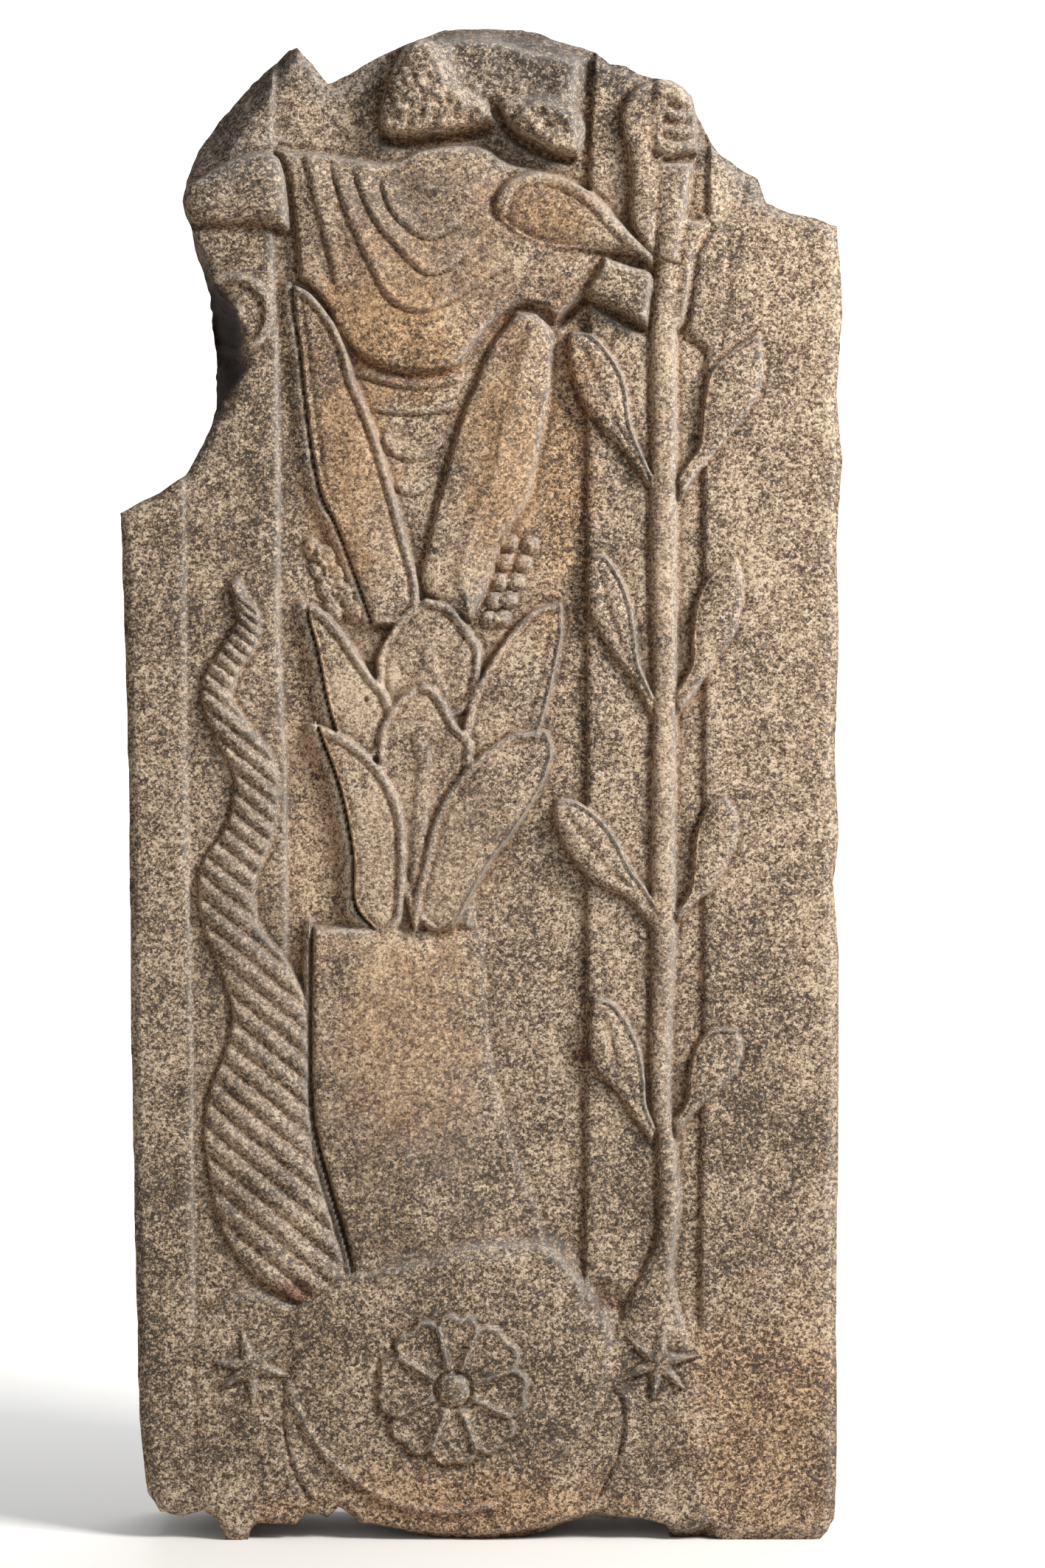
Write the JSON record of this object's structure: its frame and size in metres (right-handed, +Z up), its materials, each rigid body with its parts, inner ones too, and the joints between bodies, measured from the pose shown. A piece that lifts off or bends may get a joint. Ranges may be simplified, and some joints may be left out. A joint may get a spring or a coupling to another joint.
{
  "type": "stone relief panel",
  "caption": "Broken and weathered upright stone slab with a stepped niche, a draped headless figure, husks and leaves, a ribbed horn and a leafy stalk.",
  "frame": {"origin": "middle of the underside of the slab's box, where it stands", "axes": "+Z up, +X to the viewer's right, +Y from the carved front to the flat back"},
  "size_m": [0.8804, 0.233, 1.844],
  "materials": {
    "stone": "weathered, granular, unpolished"
  },
  "bodies": {
    "root": {"relief_panel": "stone"}
  },
  "joints": []
}
